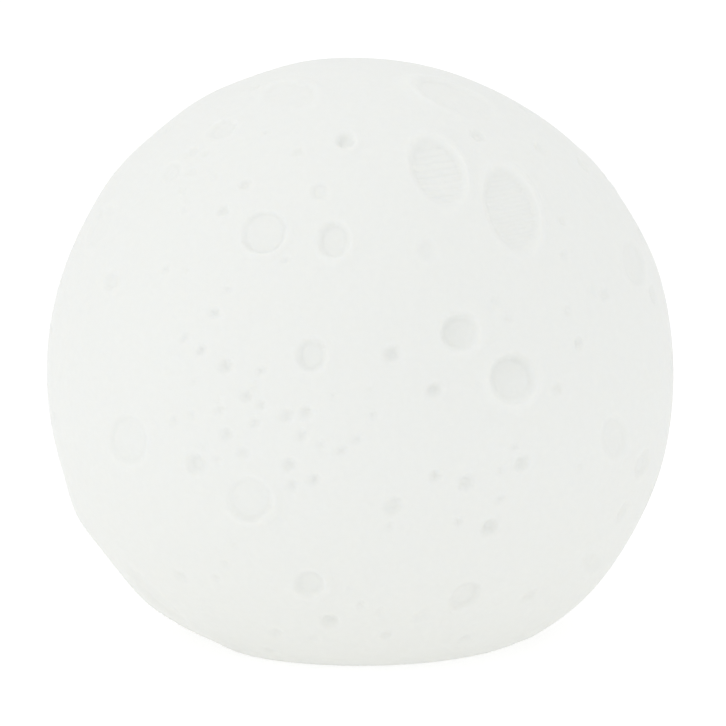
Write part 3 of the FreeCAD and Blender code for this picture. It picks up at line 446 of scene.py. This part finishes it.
# Name, colour, roughness, metallic and the CAD nodes that wear it.
FINISHES = (
    ("base_plastic", (0.80, 0.80, 0.775), 0.5, 0.0, ("base_housing", "top_cover", "battery_door")),
    ("switch_black", (0.03, 0.03, 0.032), 0.4, 0.0, ("switch_slider",)),
    ("board_green", (0.02, 0.12, 0.05), 0.35, 0.0, ("circuit_board",)),
    ("lens_epoxy", (0.85, 0.87, 0.84), 0.12, 0.0, ("led_lens",)),
    ("tinned", (0.72, 0.72, 0.70), 0.35, 1.0, ("led_leads", "resistor_leads", "switch_terminals")),
    ("nickel", (0.70, 0.68, 0.64), 0.28, 1.0,
     ("contact_plate", "contact_leaf", "switch_frame", "switch_contact")),
    ("cell_steel", (0.70, 0.71, 0.72), 0.25, 1.0, ("button_cell_1", "button_cell_2", "button_cell_3")),
    ("screw_steel", (0.58, 0.58, 0.60), 0.35, 1.0, ("cover_screws", "door_screws")),
    ("brown_laminate", (0.09, 0.035, 0.012), 0.6, 0.0, ("switch_base",)),
    ("resistor_lacquer", (0.58, 0.42, 0.20), 0.3, 0.0, ("resistor",)),
    ("red_insulation", (0.35, 0.01, 0.01), 0.5, 0.0, ("wire_red",)),
    ("black_insulation", (0.015, 0.015, 0.015), 0.5, 0.0, ("wire_black",)),
)


def new_material(name):
    """A node material with a Principled shader and its output, and that shader."""
    made = bpy.data.materials.new(name)
    made.use_nodes = True
    nodes = made.node_tree.nodes
    nodes.clear()
    shader = nodes.new("ShaderNodeBsdfPrincipled")
    out = nodes.new("ShaderNodeOutputMaterial")
    made.node_tree.links.new(shader.outputs["BSDF"], out.inputs["Surface"])
    return made, shader


def maths(tree, operation, *values):
    """The result of one sum: each value is another node's output or a plain number."""
    made = tree.nodes.new("ShaderNodeMath")
    made.operation = operation
    for socket, value in zip(made.inputs, values):
        if isinstance(value, float):
            socket.default_value = value
        else:
            tree.links.new(value, socket)
    return made.outputs["Value"]


def between(tree, share, low, high):
    """A number that goes from low to high with a share; low may be another node's output."""
    made = tree.nodes.new("ShaderNodeMapRange")
    tree.links.new(share, made.inputs["Value"])
    if isinstance(low, float):
        made.inputs["To Min"].default_value = low
    else:
        tree.links.new(low, made.inputs["To Min"])
    made.inputs["To Max"].default_value = high
    return made.outputs["Result"]


def noise(tree, scale, stretch=(1.0, 1.0, 1.0), detail=FINE_DETAIL):
    """A noise pattern on the object's own coordinates in metres, stretched along the axes."""
    place = tree.nodes.new("ShaderNodeTexCoord")
    mapping = tree.nodes.new("ShaderNodeMapping")
    mapping.inputs["Scale"].default_value = stretch
    pattern = tree.nodes.new("ShaderNodeTexNoise")
    pattern.inputs["Scale"].default_value = scale
    pattern.inputs["Detail"].default_value = detail
    tree.links.new(place.outputs["Object"], mapping.inputs["Vector"])
    tree.links.new(mapping.outputs["Vector"], pattern.inputs["Vector"])
    return pattern.outputs["Fac"]


def ramp(tree, share, low, high, start=0.0, end=1.0, middle=None):
    """Two colours mixed by a share, with a third one half way if it is given."""
    made = tree.nodes.new("ShaderNodeValToRGB")
    stops = made.color_ramp.elements
    for stop, place, colour in zip(stops, (start, end), (low, high)):
        stop.position = place
        stop.color = (*colour, 1.0)
    if middle is not None:
        stops.new((start + end) / 2.0).color = (*middle, 1.0)
    tree.links.new(share, made.inputs["Fac"])
    return made.outputs["Color"]


def tinted(tree, first, second):
    """Two colours multiplied."""
    made = tree.nodes.new("ShaderNodeMix")
    made.data_type = "RGBA"
    made.blend_type = "MULTIPLY"
    made.inputs["Factor"].default_value = 1.0
    tree.links.new(first, made.inputs["A"])
    tree.links.new(second, made.inputs["B"])
    return made.outputs["Result"]


def bumped(tree, shader, pattern, strength, height):
    """Gives a shader a bump that follows a pattern."""
    made = tree.nodes.new("ShaderNodeBump")
    made.inputs["Strength"].default_value = strength
    made.inputs["Distance"].default_value = height
    tree.links.new(pattern, made.inputs["Height"])
    tree.links.new(made.outputs["Normal"], shader.inputs["Normal"])


def moulded(name, colour, roughness, metallic):
    """A finish whose colour and roughness drift a little with a noise, with a fine grain for its bump."""
    made, shader = new_material(name)
    tree = made.node_tree
    low, high = ([part * (1.0 + drift) for part in colour] for drift in (-DRIFT, DRIFT))
    drifting = ramp(tree, noise(tree, DRIFT_SCALE), low, high, *DRIFT_RUN)
    tree.links.new(drifting, shader.inputs["Base Color"])
    least, most = roughness * (1.0 - GLOSS_DRIFT), roughness * (1.0 + GLOSS_DRIFT)
    tree.links.new(between(tree, noise(tree, GLOSS_SCALE), least, most), shader.inputs["Roughness"])
    shader.inputs["Metallic"].default_value = metallic
    bumped(tree, shader, noise(tree, FINE_GRAIN), FINE_BUMP, FINE_BUMP_HEIGHT)
    return made


def vinyl():
    """Soft white vinyl: a darker, warmer white towards the foot that is painted shade with a warm tint, fine
    mottling, crater floors darker as painted shade and rims lighter as painted highlight.

    Its bump is the sum of level flow streaks, faint waves and a fine satin grain, and it carries a little
    light under the surface.
    """
    made, shader = new_material("globe_vinyl")
    tree = made.node_tree
    place = tree.nodes.new("ShaderNodeTexCoord")
    axes = tree.nodes.new("ShaderNodeSeparateXYZ")
    tree.links.new(place.outputs["Object"], axes.inputs["Vector"])
    # Painted shade with a warm tint, from the foot up to the crown.
    level = tree.nodes.new("ShaderNodeMapRange")
    level.inputs["From Max"].default_value = FOOT_SHADE_HEIGHT
    tree.links.new(axes.outputs["Z"], level.inputs["Value"])
    base = ramp(tree, level.outputs["Result"], FOOT_SHADED_WHITE, CROWN_WHITE)
    mottle = ramp(tree, noise(tree, MOTTLE_SCALE), MOTTLE_DARK, WHITE)
    # Painted shade on the crater floors and a painted highlight on the rims, by the pan attribute.
    pan = tree.nodes.new("ShaderNodeAttribute")
    pan.attribute_name = PAN
    painted_shade_and_highlight = ramp(tree, pan.outputs["Fac"], RIM_PAINTED_HIGHLIGHT, PAN_PAINTED_SHADE, middle=PLAIN_TINT)
    tree.links.new(tinted(tree, tinted(tree, base, mottle), painted_shade_and_highlight), shader.inputs["Base Color"])
    grain = noise(tree, GRAIN_SCALE)
    swelling = noise(tree, WAVE_SCALE, detail=COARSE_DETAIL)
    waves = maths(tree, "MULTIPLY_ADD", swelling, WAVE_SHARE, grain)
    streaks = noise(tree, 1.0, STREAK_STRETCH, COARSE_DETAIL)
    bumped(tree, shader, maths(tree, "ADD", streaks, waves), VINYL_BUMP, VINYL_BUMP_HEIGHT)
    shader.inputs["Roughness"].default_value = VINYL_ROUGHNESS
    shader.inputs["Subsurface Weight"].default_value = CARRIED_LIGHT
    shader.inputs["Subsurface Radius"].default_value = CARRIED_TINT
    shader.inputs["Subsurface Scale"].default_value = CARRIED_WAY
    return made


skin.data.materials.append(vinyl())
for name, colour, roughness, metallic, wearers in FINISHES:
    finish = moulded(name, colour, roughness, metallic)
    for wearer in wearers:
        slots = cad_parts[wearer].data.materials
        slots.clear()
        slots.append(finish)


# ---------------------------------------------------------------- floor, light and camera
FLOOR_HALF = 4.0  # metres
FLOOR_DROP = 0.00005  # the table's top below the flat, so that the two don't fight
FLOOR_COLOUR, FLOOR_ROUGHNESS = (0.45, 0.45, 0.45), 0.9
FLOOR_GLOW, FLOOR_LIFT = 0.56, 0.08
WORLD_LEVEL = 0.85
LOBES = (((0.0, -1.0, 0.0), 0.12), ((0.0, 0.0, 1.0), 0.21))  # where the studio is brighter, and by how much
BOX_PLACE, BOX_SIZE, BOX_WATTS = (-1.5, -0.3, 0.5), 0.7, 1.5
PHOTO_SIDE = 726.0  # pixels
PHOTO_RADIUS = 313.8  # the globe's radius in pixels
SHIFT_X, SHIFT_Y = 3.0, 8.5  # the view's shift in pixels
SENSOR = 36.0
STAND_OFF = 40.0  # the camera's distance from the globe's centre, in globe radii
VIEW_END = 20.0  # metres
ELEVATION = math.radians(12.75)


def pale_table():
    """A pale lit table: diffuse where light and shadow count, a glow of its own for every ray, and a further
    lift that only views, mirrors and glass see. From below it can be seen through."""
    made, shader = new_material("floor_pale")
    tree = made.node_tree
    path = tree.nodes.new("ShaderNodeLightPath")
    seen = maths(tree, "MAXIMUM", path.outputs["Is Camera Ray"], path.outputs["Is Glossy Ray"])
    seen = maths(tree, "MAXIMUM", seen, path.outputs["Is Transmission Ray"])
    glow = between(tree, seen, FLOOR_GLOW, FLOOR_GLOW + FLOOR_LIFT)
    tree.links.new(glow, shader.inputs["Emission Strength"])
    shader.inputs["Base Color"].default_value = (*FLOOR_COLOUR, 1.0)
    shader.inputs["Roughness"].default_value = FLOOR_ROUGHNESS
    shader.inputs["Specular IOR Level"].default_value = 0.0
    shader.inputs["Emission Color"].default_value = (*WHITE, 1.0)
    clear = tree.nodes.new("ShaderNodeBsdfTransparent")
    side = tree.nodes.new("ShaderNodeNewGeometry")
    choice = tree.nodes.new("ShaderNodeMixShader")
    tree.links.new(side.outputs["Backfacing"], choice.inputs["Fac"])
    tree.links.new(shader.outputs["BSDF"], choice.inputs[1])
    tree.links.new(clear.outputs["BSDF"], choice.inputs[2])
    out = next(node for node in tree.nodes if node.type == "OUTPUT_MATERIAL")
    tree.links.new(choice.outputs["Shader"], out.inputs["Surface"])
    return made


def table():
    """One wide square face just under the foot."""
    mesh = bpy.data.meshes.new("floor")
    corners = [(x * FLOOR_HALF, y * FLOOR_HALF, -FLOOR_DROP) for x, y in ((-1, -1), (1, -1), (1, 1), (-1, 1))]
    mesh.from_pydata(corners, [], [(0, 1, 2, 3)])
    mesh.materials.append(pale_table())
    made = bpy.data.objects.new("floor", mesh)
    bpy.context.scene.collection.objects.link(made)
    return made


def studio():
    """A nearly even white room: a level all round, plus a lobe towards each brighter side that goes with the
    squared cosine of the angle from it. Views and what is seen through glass find plain white."""
    world = bpy.data.worlds.new("studio")
    bpy.context.scene.world = world
    world.use_nodes = True
    tree = world.node_tree
    tree.nodes.clear()
    way = tree.nodes.new("ShaderNodeTexCoord")
    strength = WORLD_LEVEL
    for toward, gain in LOBES:
        aligned = tree.nodes.new("ShaderNodeVectorMath")
        aligned.operation = "DOT_PRODUCT"
        aligned.inputs[1].default_value = toward
        tree.links.new(way.outputs["Generated"], aligned.inputs[0])
        ahead = maths(tree, "MAXIMUM", aligned.outputs["Value"], 0.0)
        lobe = maths(tree, "MULTIPLY", maths(tree, "POWER", ahead, 2.0), gain)
        strength = maths(tree, "ADD", lobe, strength)
    path = tree.nodes.new("ShaderNodeLightPath")
    seen = maths(tree, "MAXIMUM", path.outputs["Is Camera Ray"], path.outputs["Is Transmission Ray"])
    sky = tree.nodes.new("ShaderNodeBackground")
    sky.inputs["Color"].default_value = (*WHITE, 1.0)
    tree.links.new(between(tree, seen, strength, 1.0), sky.inputs["Strength"])
    out = tree.nodes.new("ShaderNodeOutputWorld")
    tree.links.new(sky.outputs["Background"], out.inputs["Surface"])


def soft_box(name, place, size, watts):
    """A square area light that faces the globe's centre."""
    lamp = bpy.data.lights.new(name, "AREA")
    lamp.shape = "SQUARE"
    lamp.size = size
    lamp.energy = watts
    holder = bpy.data.objects.new(name, lamp)
    holder.location = place
    aim = holder.location.copy()
    aim.z -= CENTRE_HEIGHT * MM
    holder.rotation_euler = aim.to_track_quat("Z", "Y").to_euler()
    bpy.context.scene.collection.objects.link(holder)


def photo_view():
    """The camera: far off and a little above, aimed at the globe's centre, with a long lens.

    The lens gives the ball its radius in pixels: its outline is seen under the angle whose sine is one over
    STAND_OFF.
    """
    camera = bpy.data.cameras.new("photo_view")
    camera.sensor_width = SENSOR
    camera.lens = SENSOR * PHOTO_RADIUS * math.sqrt(STAND_OFF * STAND_OFF - 1.0) / PHOTO_SIDE
    camera.shift_x = SHIFT_X / PHOTO_SIDE
    camera.shift_y = SHIFT_Y / PHOTO_SIDE
    camera.clip_end = VIEW_END
    holder = bpy.data.objects.new("photo_view", camera)
    reach = STAND_OFF * GLOBE_RADIUS * MM
    holder.location = (0.0, -reach * math.cos(ELEVATION), CENTRE_HEIGHT * MM + reach * math.sin(ELEVATION))
    holder.rotation_euler = (math.radians(90.0) - ELEVATION, 0.0, 0.0)
    bpy.context.scene.collection.objects.link(holder)
    bpy.context.scene.camera = holder


floor = table()
studio()
soft_box("left_box", BOX_PLACE, BOX_SIZE, BOX_WATTS)
photo_view()
bpy.context.scene.view_settings.view_transform = "Standard"
